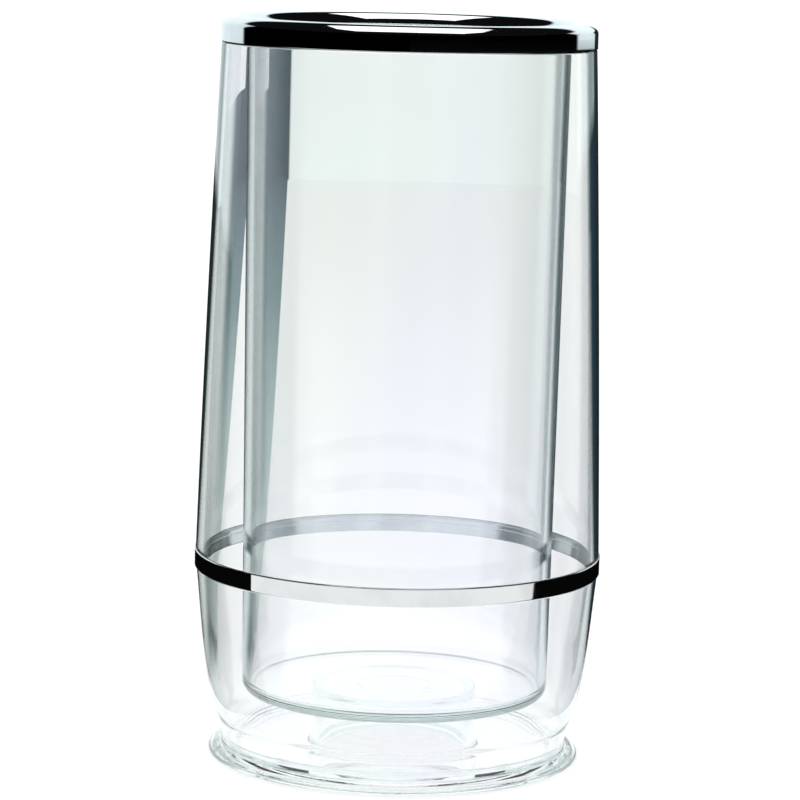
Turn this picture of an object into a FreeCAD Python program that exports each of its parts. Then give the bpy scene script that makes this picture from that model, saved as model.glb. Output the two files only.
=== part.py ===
"""Double-wall clear bottle cooler with a plated rim and a plated waist band.

Six turned pieces, all round the Z axis, in millimetres, standing on z = 0:
  base_plate   floor disc with a thin flange, a locating rib and a hollow centre boss
  lower_bowl   lower outer wall, tapering down to the flange
  band_ring    plated band over the seam between bowl and shell
  upper_shell  upper outer wall, a slightly barrelled cone
  inner_cup    liner that holds the bottle, hung from the shell by its flange
  rim_ring     plated ring that caps both walls at the mouth
"""

import FreeCAD, Part
import os

# Driving dimensions
height = 235.0
wall = 2.4                  # moulded wall of shell, bowl and cup
fit_gap = 0.05              # between pieces that slide into each other
rim_radius = 59.2           # outside of the plated rim
rim_height = 8.0
band_radius = 64.9          # outside of the plated band, the widest point
band_bottom = 60.2
band_height = 5.7
foot_radius = 59.4          # outside of the base flange
boss_radius = 26.2          # at the boss's top
cup_bottom = 20.0
cup_floor = 2.9             # thickness of the cup's floor

# Heights that follow
rim_bottom = height - rim_height
band_top = band_bottom + band_height
cup_inside = cup_bottom + cup_floor
boss_top = cup_bottom - fit_gap


def turned(start, *steps):
    """A solid turned round Z from a closed outline of (radius, height) points.

    A step is the next point, or a pair (point on the arc, next point)."""
    def vector(point):
        return FreeCAD.Vector(point[0], 0, point[1])

    edges = []
    here = start
    for step in steps + (start,):
        if isinstance(step[0], tuple):
            via, there = step
            edges.append(Part.Arc(vector(here), vector(via), vector(there)).toShape())
        else:
            there = step
            edges.append(Part.LineSegment(vector(here), vector(there)).toShape())
        here = there
    face = Part.Face(Part.Wire(edges))
    return face.revolve(FreeCAD.Vector(0, 0, 0), FreeCAD.Vector(0, 0, 1), 360)


def rounded(solid, *corners):
    """Rounds circular edges. A corner is (radius, height, fillet)."""
    for radius, z, fillet in corners:
        edges = [
            edge
            for edge in solid.Edges
            if isinstance(edge.Curve, Part.Circle)
            and abs(edge.Curve.Radius - radius) < 0.02
            and abs(edge.Curve.Center.z - z) < 0.02
        ]
        if not edges:
            raise ValueError(f"no circular edge at radius {radius}, height {z}")
        solid = solid.makeFillet(fillet, edges[:1])
    return solid


def base_plate():
    flange_edge = 1.3       # height of the flange's upright edge
    flange_step = 2.4
    seat = 3.2              # where the bowl stands
    floor_top = 3.5
    floor_under = 1.0       # the floor is raised off the table inside the foot
    foot_inner = 52.4
    rib_inner, rib_outer, rib_top = 49.9, 52.9, 5.8
    boss_foot = 26.9        # the boss widens downwards by its draft
    hollow_top, hollow_foot = 23.7, 24.5
    boss_plate = 2.6
    well_radius, well_depth = 12.0, 0.8
    hollow_ceiling = boss_top - boss_plate
    plate = turned(
        (0, boss_top),
        (boss_radius, boss_top),
        (boss_foot, floor_top),
        (rib_inner, floor_top),
        (rib_inner + 0.1, rib_top),
        (rib_outer, rib_top),
        (rib_outer, seat),
        (55.9, seat),
        (foot_radius - 1.7, flange_step),
        (foot_radius - 1.5, flange_edge + 0.2),
        (foot_radius, flange_edge),
        (foot_radius, 0),
        (foot_inner, 0),
        (foot_inner - 0.6, floor_under),
        (hollow_foot, floor_under),
        (hollow_top, hollow_ceiling),
        (well_radius, hollow_ceiling),
        (well_radius - 0.5, hollow_ceiling + well_depth),
        (0, hollow_ceiling + well_depth),
    )
    return rounded(
        plate,
        (boss_radius, boss_top, 0.9),
        (boss_foot, floor_top, 0.8),
        (hollow_top, hollow_ceiling, 1.2),
        (rib_inner + 0.1, rib_top, 0.5),
        (rib_outer, rib_top, 0.4),
        (rib_inner, floor_top, 0.5),
        (foot_radius, flange_edge, 0.4),
        (foot_radius, 0, 0.4),
        (foot_radius - 1.7, flange_step, 0.4),
    )


def lower_bowl():
    seat = 3.2
    foot_outer = 55.5
    foot_inner = 53.0
    neck_z = 7.0            # the wall is upright below here
    shoulder = 0.65         # step that the band sits in
    top = band_bottom + 3.5
    tongue_top = top + 1.5
    tongue_inner, tongue_outer = 62.2, 62.9
    outer_top = 64.3
    bowl = turned(
        (foot_inner, seat),
        (foot_outer, seat),
        (foot_outer, neck_z),
        ((56.15, 10.0), (57.3, 12.9)),
        ((59.2, 19.2), (60.7, 27.0)),
        ((62.72, 43.5), (outer_top, band_bottom)),
        (outer_top - shoulder, band_bottom),
        (outer_top - shoulder, top),
        (tongue_outer, top),
        (tongue_outer, tongue_top),
        (tongue_inner, tongue_top),
        (outer_top - wall, band_bottom),
        ((60.33, 43.7), (58.35, 27.5)),
        ((56.9, 20.2), (55.1, 13.9)),
        ((53.6, 10.4), (foot_inner, neck_z)),
    )
    return rounded(bowl, (outer_top, band_bottom, 0.25), (foot_outer, seat, 0.3))


def band_ring():
    thickness = 1.2
    inner = band_radius - thickness
    ring = turned(
        (inner, band_bottom),
        (band_radius, band_bottom),
        (band_radius, band_top),
        (inner, band_top),
    )
    return rounded(ring, (band_radius, band_bottom, 0.3), (band_radius, band_top, 0.3))


def upper_shell():
    shoulder = 0.95         # step under the band
    rim_step = 1.45         # step under the rim
    top_outer = 59.0
    bottom_outer = 64.6
    spigot_top = rim_bottom + 1.9
    joint_z = band_bottom + 3.5
    notch_z = joint_z + 1.6
    notch_radius = 62.9 + fit_gap
    edge = 0.25             # rounding of the two outer edges
    half = 0.71 * edge
    return turned(
        (bottom_outer - edge, band_top),
        ((bottom_outer - edge + half, band_top + edge - half), (bottom_outer, band_top + edge)),
        ((62.05, 146.5), (top_outer, rim_bottom - edge)),
        ((top_outer - edge + half, rim_bottom - edge + half), (top_outer - edge, rim_bottom)),
        (top_outer - rim_step, rim_bottom),
        (top_outer - rim_step, spigot_top),
        (top_outer - wall, spigot_top),
        (top_outer - wall, rim_bottom),
        ((62.05 - wall, 146.5), (bottom_outer - wall, band_top)),
        (bottom_outer - wall, notch_z),
        (notch_radius, notch_z),
        (notch_radius, joint_z),
        (bottom_outer - shoulder, joint_z),
        (bottom_outer - shoulder, band_top),
    )


def inner_cup():
    outer_bottom, outer_top = 49.0, 50.9
    inner_bottom, inner_top = outer_bottom - wall, outer_top - wall
    flange_bottom = rim_bottom + 1.9 + fit_gap
    flange_top = flange_bottom + 2.5
    flange_radius = 57.5
    rib_inner, rib_outer, rib_bottom = 54.6, 56.5, rim_bottom + 0.4
    cup = turned(
        (0, cup_bottom),
        (outer_bottom, cup_bottom),
        (outer_top, flange_bottom),
        (rib_inner, flange_bottom),
        (rib_inner, rib_bottom),
        (rib_outer, rib_bottom),
        (rib_outer, flange_bottom),
        (flange_radius, flange_bottom),
        (flange_radius, flange_top),
        (inner_top, flange_top),
        (inner_bottom, cup_inside),
        (0, cup_inside),
    )
    return rounded(
        cup,
        (outer_bottom, cup_bottom, 3.2),
        (outer_top, flange_bottom, 1.5),
        (inner_top, flange_top, 0.6),
        (inner_bottom, cup_inside, 1.8),
    )


def rim_ring():
    skin = 1.4              # moulded thickness of the plated ring
    crown_radius = 54.0     # the ring is highest here
    lip_inner = 49.3
    lip_bottom = rim_bottom + 4.45 + fit_gap
    side_top = 231.71       # the upright side ends here and the rounding starts
    hollow_top = height - 1.6
    return turned(
        (rim_radius - skin, rim_bottom),
        (rim_radius, rim_bottom),
        (rim_radius, side_top),
        ((58.99, 232.64), (58.41, 233.39)),
        ((56.35, 234.59), (crown_radius, height)),
        ((50.53, 233.56), (lip_inner, lip_bottom)),
        (lip_inner + skin, lip_bottom),
        ((51.65, 232.7), (crown_radius, hollow_top)),
        ((56.6, 232.9), (rim_radius - skin, lip_bottom)),
    )


pieces = (base_plate, lower_bowl, band_ring, upper_shell, inner_cup, rim_ring)

os.makedirs("parts", exist_ok=True)
for make in pieces:
    solid = make()
    if not solid.isValid() or len(solid.Solids) != 1:
        raise ValueError(f"{make.__name__} is not one valid solid")
    solid.exportStep(f"parts/{make.__name__}.step")
    box = solid.BoundBox
    print(f"{make.__name__}: {solid.Volume / 1000:.1f} cm3, z {box.ZMin:.2f} to {box.ZMax:.2f}")
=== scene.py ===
import bpy
import bmesh
import math
from mathutils import Matrix, Vector


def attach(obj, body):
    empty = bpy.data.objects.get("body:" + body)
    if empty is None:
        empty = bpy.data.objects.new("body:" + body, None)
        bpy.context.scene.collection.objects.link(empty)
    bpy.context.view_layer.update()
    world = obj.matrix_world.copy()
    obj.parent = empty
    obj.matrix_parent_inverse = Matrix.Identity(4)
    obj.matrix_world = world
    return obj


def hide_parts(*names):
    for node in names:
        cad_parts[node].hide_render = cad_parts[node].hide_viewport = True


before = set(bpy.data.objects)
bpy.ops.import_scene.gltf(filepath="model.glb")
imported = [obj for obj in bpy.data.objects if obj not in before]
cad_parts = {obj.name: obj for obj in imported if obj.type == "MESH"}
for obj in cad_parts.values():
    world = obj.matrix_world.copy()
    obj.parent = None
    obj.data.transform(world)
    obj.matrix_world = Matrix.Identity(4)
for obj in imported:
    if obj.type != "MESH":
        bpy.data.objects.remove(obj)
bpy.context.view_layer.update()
mm = 0.001
turnSteps = 288          # facets round a turned piece


def arcPoints(centre, radius, fromDeg, toDeg, steps):
    points = []
    for i in range(steps + 1):
        a = math.radians(fromDeg + (toDeg - fromDeg) * i / steps)
        points.append((centre[0] + radius * math.cos(a), centre[1] + radius * math.sin(a)))
    return points


def easedRun(points, steps):
    # a smooth run through the points, ends kept
    run = []
    last = len(points) - 1
    for i in range(last):
        before, a, b, after = points[max(i - 1, 0)], points[i], points[i + 1], points[min(i + 2, last)]
        for k in range(steps):
            t = k / steps
            run.append(tuple(
                0.5 * (2 * a[j] + (b[j] - before[j]) * t
                       + (2 * before[j] - 5 * a[j] + 4 * b[j] - after[j]) * t * t
                       + (3 * a[j] - before[j] - 3 * b[j] + after[j]) * t ** 3)
                for j in (0, 1)))
    run.append(points[-1])
    return run


outlining = {
    "arcStep": 9,         # degrees of a corner's rounding to one facet
    "short": 1.2,         # mm: a run shorter than this gets no stops
    "long": 12,           # mm: a run longer than this is divided
    "divided": 6,         # mm between its stops
    "evenEnd": 0.35,      # mm from its ends, keeps the shading of a long wall even there
}


def roundedOutline(corners):
    # closed outline in mm from corners (radius, height, rounding, bow): rounding is the corner's fillet,
    # bow is how far the run to the next corner bulges outwards in its middle
    o = outlining
    full = [tuple(c) + (0,) * (4 - len(c)) for c in corners]
    count = len(full)
    ends = []
    for i, (r, z, rounding, bow) in enumerate(full):
        here = Vector((r, z))
        if rounding <= 0:
            ends.append([here])
            continue
        toBack = (Vector(full[i - 1][:2]) - here).normalized()
        toNext = (Vector(full[(i + 1) % count][:2]) - here).normalized()
        half = toBack.angle(toNext) / 2
        reach = rounding / math.tan(half)
        centre = here + (toBack + toNext).normalized() * rounding / math.sin(half)
        first, last = here + toBack * reach - centre, here + toNext * reach - centre
        sweep = first.angle_signed(last)
        steps = max(4, int(abs(math.degrees(sweep)) / o["arcStep"]))
        ends.append([centre + Matrix.Rotation(-sweep * k / steps, 2) @ first for k in range(steps + 1)])
    outline = []
    for i in range(count):
        outline += ends[i]
        a, b = ends[i][-1], ends[(i + 1) % count][0]
        length = (b - a).length
        bow = full[i][3]
        if length > o["short"]:
            out = Vector(((b - a).y, -(b - a).x)) / length
            stops = [o["evenEnd"] / length, 1 - o["evenEnd"] / length]
            if length > o["long"]:
                inner = int(length / o["divided"])
                stops = [stops[0]] + [k / inner for k in range(1, inner)] + [stops[1]]
            outline += [a + (b - a) * t + out * bow * 4 * t * (1 - t) for t in stops]
    return [(p.x, p.y) for p in outline]


def turnedPiece(name, outline, material, node):
    # turns an outline round the Z axis into one closed mesh
    bm = bmesh.new()
    angles = [2 * math.pi * k / turnSteps for k in range(turnSteps)]
    rings = []
    for r, z in outline:
        if r < 1e-6:
            rings.append([bm.verts.new((0, 0, z * mm))] * turnSteps)
        else:
            places = [(r * mm * math.cos(a), r * mm * math.sin(a), z * mm) for a in angles]
            rings.append([bm.verts.new(place) for place in places])
    for i in range(len(rings)):
        low, high = rings[i], rings[(i + 1) % len(rings)]
        if low[0] is low[1] and high[0] is high[1]:
            continue
        for k in range(turnSteps):
            n = (k + 1) % turnSteps
            corners = []
            for v in (low[k], low[n], high[n], high[k]):
                if v not in corners:
                    corners.append(v)
            bm.faces.new(corners).smooth = True
    bmesh.ops.recalc_face_normals(bm, faces=bm.faces)
    mesh = bpy.data.meshes.new(name)
    bm.to_mesh(mesh)
    bm.free()
    mesh.set_sharp_from_angle(angle=math.radians(32))
    piece = bpy.data.objects.new(name, mesh)
    bpy.context.collection.objects.link(piece)
    even = piece.modifiers.new("evenShading", "WEIGHTED_NORMAL")
    even.keep_sharp = True
    mesh.materials.append(material)
    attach(piece, "root")
    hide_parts(node)
    print("made", name, len(mesh.polygons), "faces")
    return piece


def linear(hexColour):
    # sRGB hex to linear RGBA
    out = []
    for i in (1, 3, 5):
        c = int(hexColour[i:i + 2], 16) / 255
        out.append(c / 12.92 if c <= 0.04045 else ((c + 0.055) / 1.055) ** 2.4)
    return (*out, 1.0)


def addNode(tree, kind, settings=None, **links):
    # adds a node: settings fill its properties and sockets, links bring other nodes' outputs to its sockets
    node = tree.nodes.new(kind)
    for key, value in (settings or {}).items():
        if isinstance(key, int) or key in node.inputs:
            node.inputs[key].default_value = value
        else:
            setattr(node, key, value)
    for key, output in links.items():
        byNumber = key[0] == "i" and key[1:].isdigit()
        socket = node.inputs[int(key[1:])] if byNumber else node.inputs[key.replace("_", " ")]
        tree.links.new(output, socket)
    return node


def feed(tree, socket, value):
    # value is a number, a colour or another node's output
    if isinstance(value, bpy.types.NodeSocket):
        tree.links.new(value, socket)
    else:
        socket.default_value = value


def calculated(tree, operation, *values, clamp=False):
    node = addNode(tree, "ShaderNodeMath", {"operation": operation, "use_clamp": clamp})
    for i, value in enumerate(values):
        feed(tree, node.inputs[i], value)
    return node.outputs[0]


def mixed(tree, factor, a, b, blend="MIX"):
    # a where the factor is 0, b where it is 1
    node = addNode(tree, "ShaderNodeMix", {"data_type": "RGBA", "blend_type": blend})
    for i, value in ((0, factor), (6, a), (7, b)):
        feed(tree, node.inputs[i], value)
    return node.outputs[2]


def ranged(tree, value, fromLow, fromHigh, toLow=0.0, toHigh=1.0, kind="LINEAR"):
    # carries a value from one range to another and holds it at the ends
    settings = {"interpolation_type": kind, 1: fromLow, 2: fromHigh, 3: toLow, 4: toHigh}
    return addNode(tree, "ShaderNodeMapRange", settings, i0=value).outputs[0]


def colourRamp(tree, factor, stops, span=1.0):
    # stops are (place, colour), places up to span, colours sRGB hex or already linear
    node = addNode(tree, "ShaderNodeValToRGB", None, Fac=factor)
    elements = node.color_ramp.elements
    while len(elements) > 1:
        elements.remove(elements[-1])
    for i, (place, colour) in enumerate(stops):
        stop = elements[0] if i == 0 else elements.new(place / span)
        stop.position = place / span
        stop.color = linear(colour) if isinstance(colour, str) else colour
    return node.outputs[0]


def objectPlace(tree):
    return addNode(tree, "ShaderNodeTexCoord").outputs["Object"]


def noise(tree, where, sizeMm, detail):
    settings = {"Scale": 1 / (sizeMm * mm), "Detail": detail}
    return addNode(tree, "ShaderNodeTexNoise", settings, Vector=where).outputs["Fac"]


def distance(tree, where):
    return addNode(tree, "ShaderNodeVectorMath", {"operation": "LENGTH"}, i0=where).outputs["Value"]


def split(tree, where):
    return addNode(tree, "ShaderNodeSeparateXYZ", None, Vector=where).outputs


def newMaterial(name):
    material = bpy.data.materials.new(name)
    material.use_nodes = True
    tree = material.node_tree
    tree.nodes.clear()
    return material, tree


clear = {
    "ior": 1.52,
    "tintA": "#FEFFFE",           # faint green of the resin
    "tintB": "#FDFDFF",           # faint violet where moulding stress is left
    "stressMm": 55.0,
    "edgeTint": "#C4DEDA",        # what a long way through the wall takes on
    "edgeDensity": 8.0,           # per metre
    "rubMm": 9.0,                 # rubbed patches
    "roughLow": 0.0, "roughHigh": 0.01,
    "flowMm": 34.0,               # flow waves left by the moulding
    "flowDepthMm": 0.0008,
    "drawn": (1.0, 1.0, 0.35),    # stress and flow run along the height
}


def mouldedClearSan():
    # injection-moulded clear styrene acrylonitrile: glassy, faint flow waves, greenish only where light
    # runs a long way inside the wall, slightly duller where hands and ice have rubbed it
    material, tree = newMaterial("mouldedClearSan")
    where = objectPlace(tree)
    place = addNode(tree, "ShaderNodeMapping", {"Scale": clear["drawn"]}, Vector=where).outputs[0]
    stress = noise(tree, place, clear["stressMm"], 1.0)
    tint = colourRamp(tree, stress, [(0.38, clear["tintA"]), (0.62, clear["tintB"])])
    rub = noise(tree, where, clear["rubMm"], 4.0)
    rough = ranged(tree, rub, 0.45, 0.75, clear["roughLow"], clear["roughHigh"])
    flow = noise(tree, place, clear["flowMm"], 0.0)
    waves = addNode(
        tree, "ShaderNodeBump", {"Strength": 1.0, "Distance": clear["flowDepthMm"] * mm}, Height=flow)
    shader = addNode(
        tree, "ShaderNodeBsdfPrincipled",
        {"Transmission Weight": 1.0, "IOR": clear["ior"], "Metallic": 0.0},
        Base_Color=tint, Roughness=rough, Normal=waves.outputs[0])
    inside = addNode(
        tree, "ShaderNodeVolumeAbsorption",
        {"Color": linear(clear["edgeTint"]), "Density": clear["edgeDensity"]})
    addNode(tree, "ShaderNodeOutputMaterial", None, Surface=shader.outputs[0], Volume=inside.outputs[0])
    return material


plating = {
    "colour": "#E2E5E6",          # bright chromium
    "dull": "#D2D6D8",            # where it is handled
    "touchMm": 14.0,
    "roughLow": 0.02, "roughHigh": 0.06,
    "peelMm": 3.5,                # faint orange peel under the plating
    "peelDepthMm": 0.0006,
}


def chromePlatedAbs():
    # chrome-plated ABS: a mirror over a moulded ring, with a little orange peel, hazier where it is touched
    material, tree = newMaterial("chromePlatedAbs")
    where = objectPlace(tree)
    touch = noise(tree, where, plating["touchMm"], 5.0)
    colour = colourRamp(tree, touch, [(0.45, plating["colour"]), (0.75, plating["dull"])])
    rough = ranged(tree, touch, 0.4, 0.75, plating["roughLow"], plating["roughHigh"])
    peel = noise(tree, where, plating["peelMm"], 1.0)
    skin = addNode(
        tree, "ShaderNodeBump", {"Strength": 1.0, "Distance": plating["peelDepthMm"] * mm}, Height=peel)
    shader = addNode(
        tree, "ShaderNodeBsdfPrincipled", {"Metallic": 1.0},
        Base_Color=colour, Roughness=rough, Normal=skin.outputs[0])
    addNode(tree, "ShaderNodeOutputMaterial", None, Surface=shader.outputs[0])
    return material


clearSan = mouldedClearSan()
chrome = chromePlatedAbs()
print("materials ready")


base = {"flange": 59.4, "boss": 26.2, "bossTop": 19.95, "floorTop": 3.5, "floorUnder": 1.0, "ribOut": 52.85}


def turnBasePlate():
    flange, boss, top = base["flange"], base["boss"], base["bossTop"]
    floorTop, under, ribOut = base["floorTop"], base["floorUnder"], base["ribOut"]
    outline = roundedOutline([
        (0, top), (boss, top, 0.9), (boss + 0.7, floorTop, 0.8),                         # centre boss
        (49.9, floorTop, 0.5), (50.0, 5.8, 0.5), (ribOut, 5.8, 0.4), (ribOut, 3.15, 0.15),      # rib
        (55.9, 3.15, 0.2), (flange - 1.7, 2.4, 0.4), (flange - 1.5, 1.5, 0.2),
        (flange, 1.3, 0.4), (flange, 0, 0.4), (52.4, 0, 0.2), (51.8, under, 0.3),        # flange, standing ring
        (24.5, under, 0.4), (23.7, top - 2.6, 1.2), (12.0, top - 2.6, 0.2),              # hollow in the boss
        (11.5, top - 1.8, 0.2), (0, top - 1.8)])
    return turnedPiece("basePlate", outline, clearSan, "base_plate")


bowl = {"wall": 2.4, "top": 64.3, "runSteps": 5}


def turnFootBowl():
    top, steps = bowl["top"], bowl["runSteps"]
    outer = easedRun([
        (55.5, 3.9), (55.5, 6.6), (56.15, 10.0), (57.45, 13.2), (59.25, 19.3), (60.75, 27.0), (61.85, 35.0),
        (62.73, 43.5), (63.52, 52.0), (64.27, 59.7)], steps)
    inner = easedRun([
        (61.85, 59.5), (61.12, 52.0), (60.33, 43.7), (59.42, 35.3), (58.33, 27.5), (56.85, 20.1),
        (55.15, 14.0), (53.75, 10.8), (53.05, 7.0), (53.0, 3.9)], steps)
    outline = [(53.05, 3.25), (55.2, 3.25), (55.42, 3.33), (55.5, 3.55)] + outer
    outline += arcPoints((64.04, 59.95), 0.25, 0, 90, 4)
    outline += [(63.65, 60.2), (63.65, 63.62), (62.9, 63.62), (62.9, 65.2), (62.2, 65.2)]      # tongue
    outline += [(top - bowl["wall"], 60.2)] + inner
    return turnedPiece("footBowl", outline, clearSan, "lower_bowl")


band = {"outside": 64.9, "thickness": 1.2, "low": 60.25, "high": 65.85}


def turnWaistBand():
    inside = band["outside"] - band["thickness"]
    outline = roundedOutline([
        (inside, band["low"], 0.1), (band["outside"], band["low"], 0.3),
        (band["outside"], band["high"], 0.3), (inside, band["high"], 0.1)])
    return turnedPiece("waistBand", outline, chrome, "band_ring")


shell = {"top": 59.0, "bottom": 64.6, "wall": 2.4, "bow": 0.25, "low": 65.9, "high": 226.95, "spigot": 228.85}


def turnOuterShell():
    top, bottom, wall, bow = shell["top"], shell["bottom"], shell["wall"], shell["bow"]
    low, high, spigot = shell["low"], shell["high"], shell["spigot"]
    outline = roundedOutline([
        (bottom, low, 0.25, bow), (top, high, 0.6), (top - 1.45, high, 0.1), (top - 1.45, spigot, 0.2),
        (top - wall, spigot, 0.2), (top - wall, 227.0, 0, -bow), (bottom - wall, low),
        (bottom - wall, 65.3, 0.1), (62.95, 65.3), (62.95, 63.72), (63.62, 63.72), (63.62, low)])
    return turnedPiece("outerShell", outline, clearSan, "upper_shell")


liner = {
    "bottom": 49.0, "top": 50.9, "wall": 2.4, "under": 20.0, "floor": 22.9,
    "flangeOut": 57.5, "flangeLow": 228.95, "flangeHigh": 231.45,
    "ribIn": 54.6, "ribOut": 56.5, "ribLow": 227.4,
}


def turnLiner():
    bottom, top, wall = liner["bottom"], liner["top"], liner["wall"]
    under, floor = liner["under"], liner["floor"]
    out, low, high = liner["flangeOut"], liner["flangeLow"], liner["flangeHigh"]
    ribIn, ribOut, ribLow = liner["ribIn"], liner["ribOut"], liner["ribLow"]
    outline = roundedOutline([
        (0, under), (bottom, under, 3.2), (top, low, 1.5),
        (ribIn, low, 0.1), (ribIn, ribLow, 0.2), (ribOut, ribLow, 0.2), (ribOut, low, 0.1), (out, low, 0.2),
        (out, high, 0.2), (top - wall, high, 0.6), (bottom - wall, floor, 1.8), (0, floor)])
    return turnedPiece("liner", outline, clearSan, "inner_cup")


rim = {"outside": 59.2, "low": 227.0, "skin": 1.4, "crown": 54.0, "lipLow": 231.5, "edge": 0.25}


def turnRimRing():
    outside, low, skin = rim["outside"], rim["low"], rim["skin"]
    crown, lipLow, edge = rim["crown"], rim["lipLow"], rim["edge"]
    outline = [(outside - skin, low), (outside - edge, low)]
    outline += arcPoints((outside - edge, low + edge), edge, -70, 0, 4)
    outline += [(outside, low + 1), (outside, low + 3.6)]
    outline += arcPoints((57.0, 231.708), 2.2, 0, 50, 10)
    outline += arcPoints((crown, 228.133), 6.867, 54, 90, 10)
    outline += arcPoints((crown, 230.094), 4.906, 96, 163.3, 14)
    outline += [(49.4, lipLow), (50.6, lipLow)]
    outline += arcPoints((crown, 230.094), 3.4, 158, 92, 8)      # underside of the crown
    outline += arcPoints((crown, 228.4), 5.0, 84, 45, 6)
    outline += [(outside - skin, lipLow)]
    return turnedPiece("rimRing", outline, chrome, "rim_ring")


for turn in (turnBasePlate, turnFootBowl, turnWaistBand, turnOuterShell, turnLiner, turnRimRing):
    turn()


studio = {
    "white": 1.22,                 # backdrop
    "floorRadius": 2.2,
    "floorGlow": 0.94,             # the table is lit from below
    "footShadowGlow": 0.8,              # painted shadow: a little less glow right under the cooler
    "footShade": (0.0585, 0.063),  # metres from the axis where one goes over into the other
    "floorShade": 0.16,            # and answers this much to light from above
    "floorColour": "#FAFAFA",
    "grainMm": 6.0,
    # all of these lie just under the plane the foot stands on, so that none cuts the flange
    "floorAt": -0.0006, "glossAt": -0.0005, "cardAt": -0.0004, "mirroredAt": -0.0002,
}


def disc(name, radius, height, material):
    mesh = bpy.data.meshes.new(name)
    bm = bmesh.new()
    bmesh.ops.create_circle(bm, cap_ends=True, segments=96, radius=radius)
    bm.to_mesh(mesh)
    bm.free()
    mesh.materials.append(material)
    piece = bpy.data.objects.new(name, mesh)
    piece.location.z = height
    bpy.context.collection.objects.link(piece)
    return piece


def layFloor():
    # opal acrylic table top, lit from below, its glow dimmed right under the cooler as a painted contact shadow
    material, tree = newMaterial("litOpalAcrylic")
    where = objectPlace(tree)
    grain = noise(tree, where, studio["grainMm"], 3.0)
    colour = colourRamp(tree, grain, [(0.0, studio["floorColour"]), (1.0, "#FFFFFF")])
    dim = mixed(tree, 1.0, colour, (studio["floorShade"],) * 3 + (1,), "MULTIPLY")
    matt = addNode(tree, "ShaderNodeBsdfDiffuse", None, Color=dim)
    under, beyond = studio["footShade"]
    # painted contact shadow: the glow is dimmed right under the foot
    glowWithFootShadow = ranged(tree, distance(tree, where), under, beyond, studio["footShadowGlow"], studio["floorGlow"])
    glow = addNode(tree, "ShaderNodeEmission", None, Color=colour, Strength=glowWithFootShadow)
    both = addNode(tree, "ShaderNodeAddShader", None, i0=matt.outputs[0], i1=glow.outputs[0])
    addNode(tree, "ShaderNodeOutputMaterial", None, Surface=both.outputs[0])
    floor = disc("floor", studio["floorRadius"], studio["floorAt"], material)
    floor.visible_glossy = False


def hideFromCamera(card):
    card.visible_camera = card.visible_diffuse = card.visible_shadow = False


def placeCard(name, corners, material):
    # a plane card given by its corners in metres, not seen directly
    mesh = bpy.data.meshes.new(name)
    mesh.from_pydata(corners, [], [range(len(corners))])
    mesh.materials.append(material)
    card = bpy.data.objects.new(name, mesh)
    bpy.context.collection.objects.link(card)
    hideFromCamera(card)
    return card


# painted reflection of the table: how bright it glows near the cooler and where it fades out
gloss = {"bright": 1.05, "fullTo": 0.38, "goneAt": 0.75}


def layPaintedTableReflection():
    # painted reflection of the table: a glowing disc that only the plated rings and the gloss of the walls see,
    # bright near the cooler, dark further out
    material, tree = newMaterial("paintedTableReflection")
    away = distance(tree, objectPlace(tree))
    fade = ranged(tree, away, gloss["fullTo"], gloss["goneAt"], gloss["bright"], 0.0, "SMOOTHSTEP")
    glow = addNode(tree, "ShaderNodeEmission", None, Strength=fade)
    addNode(tree, "ShaderNodeOutputMaterial", None, Surface=glow.outputs[0])
    card = disc("paintedTableReflection", studio["floorRadius"], studio["glossAt"], material)
    hideFromCamera(card)
    card.visible_transmission = False


blackCards = {
    "colour": "#060606",
    "insideAt": 0.075, "spread": 0.105, "frontLeft": -0.05, "frontRight": -0.088, "far": 2.0, "wide": 1.6,
}


def layBlackCards():
    # painted dark reflections: black cards on the table beside the cooler, which only the plated rings and the
    # walls' gloss pick up
    material, tree = newMaterial("blackCard")
    c = blackCards
    shader = addNode(tree, "ShaderNodeBsdfDiffuse", {"Color": linear(c["colour"])})
    addNode(tree, "ShaderNodeOutputMaterial", None, Surface=shader.outputs[0])
    near, wide, far = c["insideAt"], c["wide"], c["far"]
    for side, word, front in ((-1, "Left", c["frontLeft"]), (1, "Right", c["frontRight"])):
        edge = [(near, front), (wide, front), (wide, far), (near + c["spread"] * far, far)]
        corners = [(side * x, y, studio["cardAt"]) for x, y in edge]
        card = placeCard("blackCard" + word, corners, material)
        card.visible_transmission = False


edgeCards = {
    # painted light seen through the walls: colour of the set as the clear walls bend light towards it
    "leftByDistance": [(0.2, "#C6D2D0"), (0.45, "#B8C6C4"), (0.75, "#9DB0B0"), (1.2, "#6C8488"),
                       (2.2, "#3E5060")],
    "leftSlope": (0.105, 0.8),                     # metres sideways per metre back, its two edges
    "rightBySlope": [(0.27, "#F2F5F5"), (0.31, "#8C9CA4"), (0.36, "#3C5064"), (0.76, "#2C3A46"),
                     (0.82, "#8E9C9E"), (1.0, "#E6EAEA")],
    "besideLeft": 0.075, "besideRight": 0.06,      # metres from the axis where the slopes start
    "near": 0.09, "far": 2.2,
    "distantLeft": [(0.0, "#F8FBFA"), (0.117, "#F8FBFA"), (0.12, "#27343F"), (0.18, "#3E5060"),
                    (0.8, "#3E5060"), (0.84, "#E6EAEA")],
    "distantRight": [(0.0, "#FFFFFF"), (0.26, "#FFFFFF")],      # then as rightBySlope
    "upTo": 5.0,                                   # degrees above the horizon
}


def glowing(tree, colour):
    return addNode(tree, "ShaderNodeEmission", {"Strength": studio["white"]}, Color=colour).outputs[0]


def wasMirrored(tree):
    # 1 for light that a wall has mirrored on its way
    path = addNode(tree, "ShaderNodeLightPath")
    return calculated(tree, "GREATER_THAN", path.outputs["Glossy Depth"], 0.5)


def seeThrough(tree):
    return addNode(tree, "ShaderNodeBsdfTransparent").outputs[0]


def oneOf(tree, factor, a, b):
    return addNode(tree, "ShaderNodeMixShader", None, i0=factor, i1=a, i2=b).outputs[0]


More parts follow.
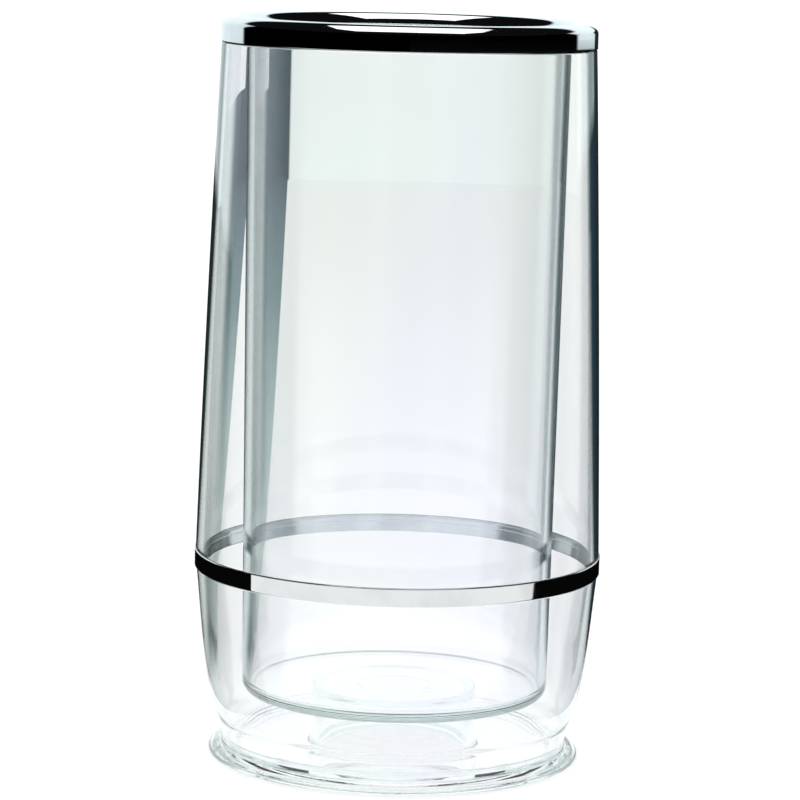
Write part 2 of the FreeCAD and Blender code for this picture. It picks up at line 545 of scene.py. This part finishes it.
def finishCard(tree, glow):
    # the card shows only to light that came straight through the walls
    either = oneOf(tree, wasMirrored(tree), glow, seeThrough(tree))
    addNode(tree, "ShaderNodeOutputMaterial", None, Surface=either)


def layEdgeCards():
    # painted dark lines: glowing cards, seen only through the clear walls, that draw the dark lines along them,
    # the same on all four sides of the cooler
    c = edgeCards
    left, tree = newMaterial("leftEdgeCard")
    away = calculated(tree, "DIVIDE", split(tree, objectPlace(tree))["Y"], c["far"])
    finishCard(tree, glowing(tree, colourRamp(tree, away, c["leftByDistance"], c["far"])))
    right, tree = newMaterial("rightEdgeCard")
    parts = split(tree, objectPlace(tree))
    across = calculated(tree, "SUBTRACT", parts["X"], c["besideRight"])
    slope = calculated(tree, "DIVIDE", across, parts["Y"])
    finishCard(tree, glowing(tree, colourRamp(tree, slope, c["rightBySlope"])))
    rightSlopes = (c["rightBySlope"][0][0], c["rightBySlope"][-1][0])
    for side, word, material, beside, (first, last) in (
            (-1, "left", left, c["besideLeft"], c["leftSlope"]),
            (1, "right", right, c["besideRight"], rightSlopes)):
        edge = [(beside + first * y, y) for y in (c["near"], c["far"])]
        edge += [(beside + last * y, y) for y in (c["far"], c["near"])]
        corners = [(side * x, y, studio["cardAt"]) for x, y in edge]
        for turn in range(4):
            card = placeCard("%sEdgeCard%d" % (word, turn), corners, material)
            card.rotation_euler = (0, 0, math.radians(90 * turn))
            card.visible_glossy = False


mirroredTable = {
    "whiteTo": 0.45, "darkFrom": 1.6,              # metres away, in front of the cooler
    "foot": (0.1, 0.17), "atFoot": "#E4EAEC",      # close round the foot it is pale on every side
    "near": "#FAFCFC", "dark": "#8A9696",
    "front": (97, 104),                            # degrees from straight behind where the front begins
    # behind the front: colour by degrees from straight behind, negative to the left
    "byBearing": [(-180, "#3A464A"), (-52, "#3A464A"), (-40, "#D8E1E1"), (-27, "#DCE4E4"), (-23, "#2A3638"),
                  (0, "#2A3638"), (20, "#24343A"), (33, "#2C4048"), (39, "#E8EEEE"), (60, "#E2E8E8"),
                  (76, "#98A2A2"), (180, "#98A2A2")],
    "upTo": (2.0, 1.0),                            # degrees above the horizon where it ends, and how softly
}


def bearingOf(tree, parts):
    # radians from straight behind, negative to the left
    return calculated(tree, "ARCTAN2", parts["X"], parts["Y"])


def bearingRamp(tree, bearing, stops):
    # stops are (degrees from straight behind, colour)
    part = calculated(tree, "MULTIPLY_ADD", bearing, 1 / (2 * math.pi), 0.5)
    return colourRamp(tree, part, [(degrees + 180, colour) for degrees, colour in stops], 360)


def mirroredColour(tree, bearing, ahead):
    # painted reflections: what light mirrored by a wall finds, ahead in front of the cooler, stripes by bearing
    # elsewhere
    stripes = bearingRamp(tree, bearing, mirroredTable["byBearing"])
    start, end = mirroredTable["front"]
    away = calculated(tree, "ABSOLUTE", bearing)
    isFront = ranged(tree, away, math.radians(start), math.radians(end))
    return mixed(tree, isFront, stripes, ahead)


def layMirroredTable():
    # painted reflection of the table: light that a wall has mirrored finds the table in front darker the
    # further out it lands
    c = mirroredTable
    material, tree = newMaterial("mirroredTable")
    where = objectPlace(tree)
    away = distance(tree, where)
    part = calculated(tree, "DIVIDE", away, c["darkFrom"])
    stops = [(0.0, c["near"]), (c["whiteTo"], c["near"]), (c["darkFrom"], c["dark"])]
    ahead = colourRamp(tree, part, stops, c["darkFrom"])
    colour = mirroredColour(tree, bearingOf(tree, split(tree, where)), ahead)
    isAway = ranged(tree, away, *c["foot"])
    glow = glowing(tree, mixed(tree, isAway, linear(c["atFoot"]), colour))
    either = oneOf(tree, wasMirrored(tree), seeThrough(tree), glow)
    addNode(tree, "ShaderNodeOutputMaterial", None, Surface=either)
    card = disc("mirroredTable", studio["floorRadius"], studio["mirroredAt"], material)
    hideFromCamera(card)
    card.visible_glossy = False


def standingCard(name, corners, back, material):
    # an upright card behind the cooler that only light through the walls meets, corners are (x, z)
    card = placeCard(name, [(x, back, z) for x, z in corners], material)
    card.visible_glossy = False
    return card


fillCard = {
    "back": 0.3, "from": 0.105, "to": 0.48, "high": 0.3,
    "softness": 0.02,              # metres over which its near edge fades in
    "byWidth": [(0.105, "#DCE4E3"), (0.26, "#E4EAE9"), (0.275, "#2C3A3A"), (0.42, "#263434"),
                (0.44, "#DDE3E3"), (0.48, "#E6EAEA")],
    "darkBelow": 0.187,            # the dark stripe stops at this height
    "stripeEnd": 0.004,            # and fades over this much to each side
    "aboveStripe": "#E9EEF0",
}


def standFillCards():
    # painted light seen through the walls: a pale glowing card with a soft near edge and a dark stripe low
    # down, standing at the left of each side
    c = fillCard
    material, tree = newMaterial("fillCard")
    parts = split(tree, objectPlace(tree))
    width = calculated(tree, "MULTIPLY", parts["X"], -1 / c["to"])
    stripes = colourRamp(tree, width, c["byWidth"], c["to"])
    low, high = c["darkBelow"] - c["stripeEnd"], c["darkBelow"] + c["stripeEnd"]
    isHigh = ranged(tree, parts["Z"], low, high, kind="SMOOTHSTEP")
    glow = glowing(tree, mixed(tree, isHigh, stripes, linear(c["aboveStripe"])))
    fade = ranged(tree, parts["X"], -c["from"], -c["from"] - c["softness"], kind="SMOOTHSTEP")
    finishCard(tree, oneOf(tree, fade, seeThrough(tree), glow))
    corners = [(-c["from"], 0), (-c["to"], 0), (-c["to"], c["high"]), (-c["from"], c["high"])]
    for turn in range(4):
        card = standingCard("fillCard%d" % turn, corners, c["back"], material)
        card.rotation_euler = (0, 0, math.radians(90 * turn))


cornerCard = {
    "back": 0.1, "inner": -0.066, "outer": -0.125, "top": 0.27,
    "lower": [(-0.066, 0.2065), (-0.0696, 0.2055), (-0.0727, 0.204), (-0.0755, 0.2025), (-0.081, 0.2),
              (-0.125, 0.1985)],
    "colours": [(0.3, "#F4F6FC"), (0.7, "#F8FAFC")], "grainMm": 30,
}


def standCornerCard():
    # painted light seen through the walls: a small bright glowing card close behind the left shoulder, its
    # lower edge rounded off
    c = cornerCard
    material, tree = newMaterial("cornerCard")
    grain = addNode(tree, "ShaderNodeTexNoise", {"Scale": 1 / (c["grainMm"] * mm)}).outputs["Fac"]
    finishCard(tree, glowing(tree, colourRamp(tree, grain, c["colours"])))
    corners = c["lower"] + [(c["outer"], c["top"]), (c["inner"], c["top"])]
    standingCard("cornerCard", corners, c["back"], material)


lightTent = {
    # painted reflection of panels: brightness by degrees from straight behind, negative to the left, as the
    # plated rings mirror it
    "low": [(-180, 0.0), (-60, 0.0), (-58, 0.8), (-20, 0.9), (0, 1), (7, 1), (9, 0.02), (25.5, 0.02),
            (27.5, 0.85), (56, 0.85), (58, 0.0), (180, 0.0)],
    "high": [(-180, 0.0), (-60, 0.0), (-56, 0.8), (-20, 0.95), (20, 1), (50, 0.9), (56, 0.0), (180, 0.0)],
    "tint": (0.86, 0.97, 1.0),
    "black": (0.004, 0.004, 0.005, 1), "white": (1, 1, 1, 1),
    "leftDown": -4.2, "rightDown": -2.6,      # degrees above the horizon where the low part starts
    "split": 9.0, "top": 28.0,                # where the high part starts and ends
    "edge": 0.3, "topEdge": 1.5,              # how many degrees these borders are soft to each side
    # painted highlight of a softbox overhead that only gloss sees, as four planes through the middle of the
    # cooler: front, back, right and left edge
    "paintedSoftbox": [(0, 1, 0.325), (0, -1, 0.84), (-1, -0.14, 0.39), (1, -0.14, 0.39)],
    "paintedSoftboxBright": 1.5, "paintedSoftboxEdge": 0.01,
}


def pitchLightTent():
    world = bpy.data.worlds.new("lightTent")
    world.use_nodes = True
    tree = world.node_tree
    tree.nodes.clear()
    t = lightTent
    black, white = t["black"], t["white"]
    where = addNode(tree, "ShaderNodeTexCoord").outputs["Generated"]
    parts = split(tree, where)
    bearing = bearingOf(tree, parts)

    def above(degrees, soft=t["edge"]):
        # 1 for directions higher than that many degrees above the horizon
        start, end = math.sin(math.radians(degrees - soft)), math.sin(math.radians(degrees + soft))
        return ranged(tree, parts["Z"], start, end)

    def panel(stops):
        tinted = [(degrees, tuple(grey * part for part in t["tint"]) + (1,)) for degrees, grey in stops]
        return bearingRamp(tree, bearing, tinted)

    # painted reflections, which only gloss sees: pale panels low down behind, black around them, a softbox
    # highlight overhead
    isRight = calculated(tree, "GREATER_THAN", parts["X"], 0.0)
    started = addNode(
        tree, "ShaderNodeMix", {"data_type": "FLOAT"},
        i0=isRight, i2=above(t["leftDown"]), i3=above(t["rightDown"])).outputs[0]
    paintedPanels = mixed(tree, above(t["split"]), panel(t["low"]), panel(t["high"]))
    paintedPanels = mixed(tree, above(t["top"], t["topEdge"]), mixed(tree, started, black, paintedPanels), black)
    inside = None
    for plane in t["paintedSoftbox"]:
        side = addNode(tree, "ShaderNodeVectorMath", {"operation": "DOT_PRODUCT", 1: plane}, i0=where)
        side = side.outputs["Value"]
        inside = side if inside is None else calculated(tree, "MINIMUM", inside, side)
    # painted softbox highlight: where gloss looks inside the four planes
    lit = ranged(tree, inside, 0.0, t["paintedSoftboxEdge"])
    mirror = mixed(tree, lit, paintedPanels, (t["paintedSoftboxBright"],) * 3 + (1,))
    # painted dark lines past the table: what light through the walls sees there, the edge cards' colours
    # carried on, the same on four sides
    quarter = calculated(tree, "WRAP", bearing, math.pi / 4, -math.pi / 4)
    slope = calculated(tree, "TANGENT", quarter)
    left = colourRamp(tree, calculated(tree, "MULTIPLY", slope, -1.0), edgeCards["distantLeft"])
    right = colourRamp(tree, slope, edgeCards["distantRight"] + edgeCards["rightBySlope"])
    through = mixed(tree, 1.0, left, right, "MULTIPLY")
    walls = mixed(tree, above(edgeCards["upTo"]), through, white)
    # painted reflections for light that a wall has mirrored, beyond the table
    mirroredSet = mirroredColour(tree, bearing, linear(mirroredTable["dark"]))
    mirroredSet = mixed(tree, above(*mirroredTable["upTo"]), mirroredSet, white)
    walls = mixed(tree, wasMirrored(tree), walls, mirroredSet)
    path = addNode(tree, "ShaderNodeLightPath").outputs
    seen = mixed(tree, path["Is Transmission Ray"], white, walls)
    glossyOnly = calculated(tree, "SUBTRACT", path["Is Glossy Ray"], path["Is Transmission Ray"], clamp=True)
    seen = mixed(tree, glossyOnly, seen, mirror)
    light = addNode(tree, "ShaderNodeBackground", {"Strength": studio["white"]}, Color=seen)
    addNode(tree, "ShaderNodeOutputWorld", None, Surface=light.outputs[0])
    bpy.context.scene.world = world
    world.cycles.sampling_method = "NONE"


layFloor()
layPaintedTableReflection()
layBlackCards()
layEdgeCards()
layMirroredTable()
standFillCards()
standCornerCard()
pitchLightTent()
print("studio ready")

shot = {
    "back": 1.087,                 # metres from the axis
    "height": 0.2749,
    "down": 8.42,                  # degrees
    "roll": 1.4,
    "lens": 155.1, "sensor": 36,
    "side": -0.0003,
}


def setCamera():
    data = bpy.data.cameras.new("camera")
    data.lens = shot["lens"]
    data.sensor_width = shot["sensor"]
    camera = bpy.data.objects.new("camera", data)
    camera.location = (shot["side"], -shot["back"], shot["height"])
    tilt = Matrix.Rotation(math.radians(90 - shot["down"]), 3, "X")
    camera.rotation_euler = (tilt @ Matrix.Rotation(math.radians(shot["roll"]), 3, "Z")).to_euler()
    bpy.context.collection.objects.link(camera)
    bpy.context.scene.camera = camera


setCamera()

bounces = {"all": 40, "gloss": 24}      # the walls are many clear faces deep
scene = bpy.context.scene
scene.view_settings.view_transform = "Standard"
scene.cycles.use_denoising = True
scene.cycles.max_bounces = bounces["all"]
scene.cycles.transmission_bounces = bounces["all"]
scene.cycles.glossy_bounces = bounces["gloss"]
scene.cycles.blur_glossy = 0
